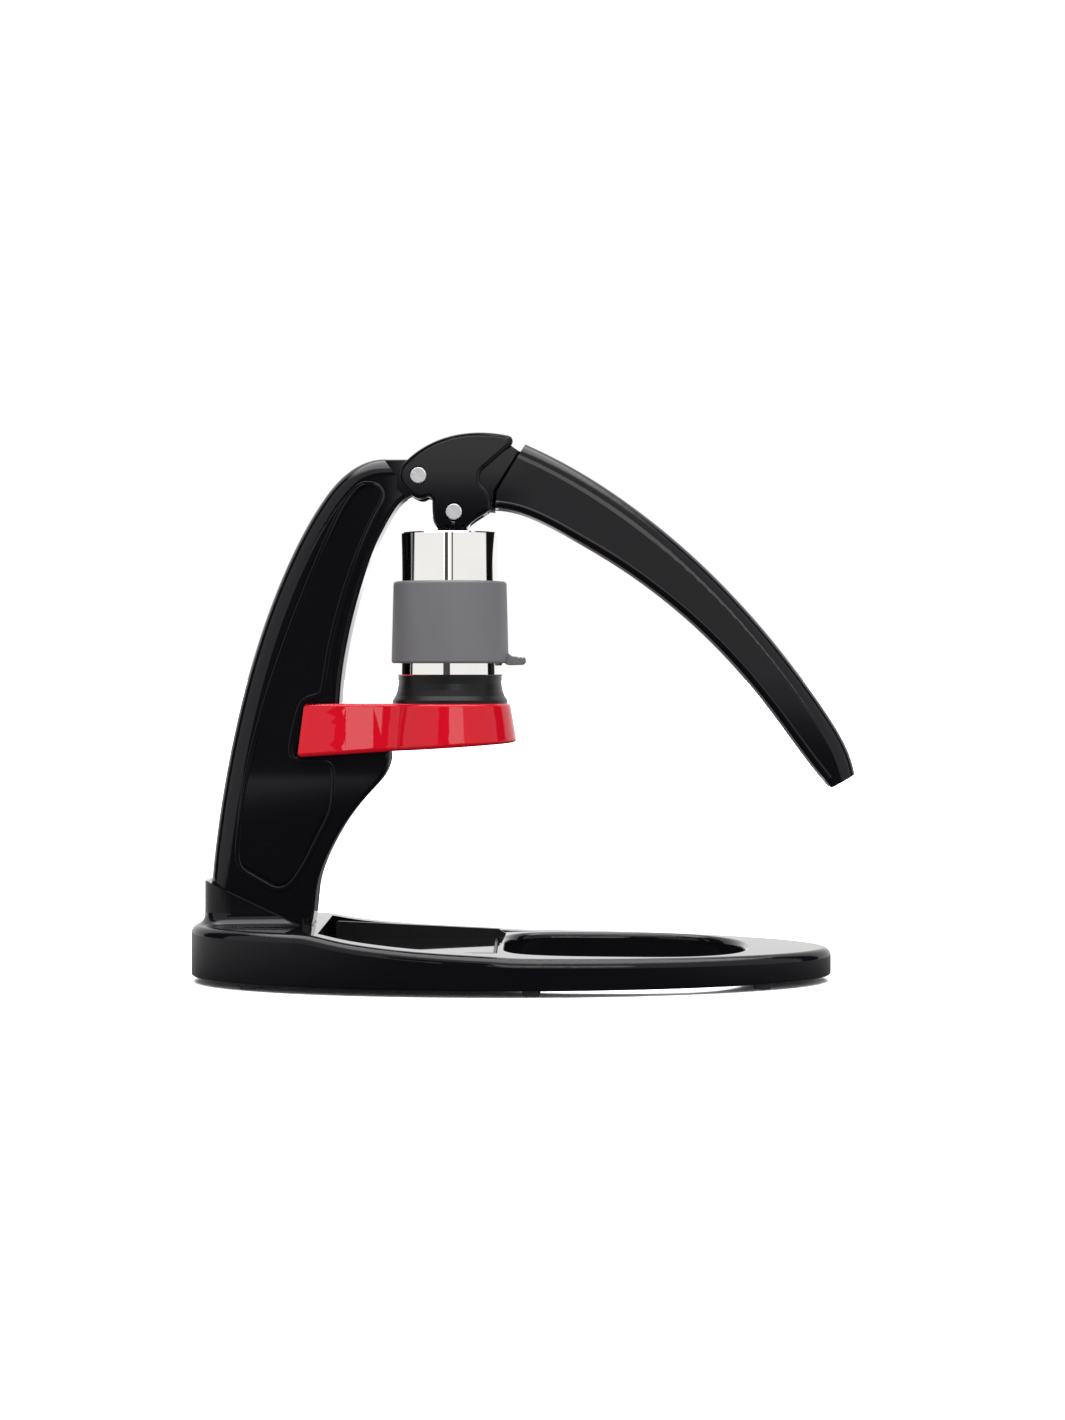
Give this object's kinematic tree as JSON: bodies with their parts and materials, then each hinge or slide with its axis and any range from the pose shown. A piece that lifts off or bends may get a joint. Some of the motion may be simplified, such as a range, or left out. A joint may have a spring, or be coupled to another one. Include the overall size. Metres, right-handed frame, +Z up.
{
  "type": "lever espresso machine",
  "caption": "Small manual lever espresso machine: oval ring base, leaning post, red holder with a steel brewing cylinder, and a long curved lever hinged at the top.",
  "frame": {"origin": "on the table, under the middle of the machine's box", "axes": "+X from the post to the handle's tip, +Y across the machine, +Z up"},
  "size_m": [0.3184, 0.152, 0.2622],
  "materials": {
    "black_gloss_paint": "gloss black paint",
    "red_gloss_paint": "gloss red paint",
    "polished_steel": "polished stainless steel",
    "brushed_pin_steel": "turned steel pin",
    "grey_silicone": "matt grey silicone",
    "black_plastic": "satin black plastic",
    "black_rubber": "matt black rubber",
    "bush_brass": "turned brass",
    "piston_aluminium": "satin turned aluminium"
  },
  "bodies": {
    "stand": {"base_casting": "black_gloss_paint", "base_feet": "black_rubber", "post_casting": "black_gloss_paint", "post_screw": "black_plastic", "post_washer": "brushed_pin_steel", "brew_holder": "red_gloss_paint", "holder_screws": "brushed_pin_steel", "pivot_bushes": "bush_brass"},
    "tray": {"drip_tray": "black_plastic", "drip_plate": "polished_steel"},
    "brew_head": {"portafilter_body": "black_plastic", "portafilter_spout": "polished_steel", "coffee_basket": "polished_steel", "dispersion_screen": "polished_steel", "basket_gasket": "black_rubber", "brew_cylinder": "polished_steel", "cylinder_sleeve": "grey_silicone"},
    "plunger": {"piston": "piston_aluminium", "piston_rings": "black_rubber", "piston_stem": "piston_aluminium", "stem_cap": "black_plastic"},
    "lever": {"lever_head": "black_gloss_paint", "handle_shell": "black_gloss_paint", "handle_underside": "black_gloss_paint", "handle_end_cap": "black_gloss_paint", "handle_screws": "brushed_pin_steel", "main_pivot_pin": "brushed_pin_steel", "press_foot_pin": "brushed_pin_steel"},
    "foot": {"press_foot": "black_gloss_paint", "foot_pad": "black_plastic"}
  },
  "joints": [
    {"name": "lever_pivot", "type": "hinge", "parent": "stand", "child": "lever", "pos_m": [-0.0497, 0, 0.24175], "axis": [0, -1, 0], "range_deg": [0, 75]},
    {"name": "foot_pivot", "type": "hinge", "parent": "lever", "child": "foot", "pos_m": [-0.0328, 0, 0.2244], "axis": [0, -1, 0], "range_deg": [-75, 0]},
    {"name": "plunger_slide", "type": "slide", "parent": "brew_head", "child": "plunger", "axis": [0, 0, 1], "range_m": [0, 0.0262]},
    {"name": "brew_head_turn", "type": "hinge", "parent": "stand", "child": "brew_head", "pos_m": [-0.035, 0, 0.1332], "axis": [0, 0, 1], "continuous": true},
    {"name": "tray_lift", "type": "slide", "parent": "stand", "child": "tray", "axis": [0, 0, 1], "range_m": [0, 0.04]}
  ],
  "couplings": [
    {"joint": "foot_pivot", "follows": "lever_pivot", "ratio": -1},
    {"joint": "plunger_slide", "follows": "lever_pivot", "m_per_rad": 0.02}
  ]
}
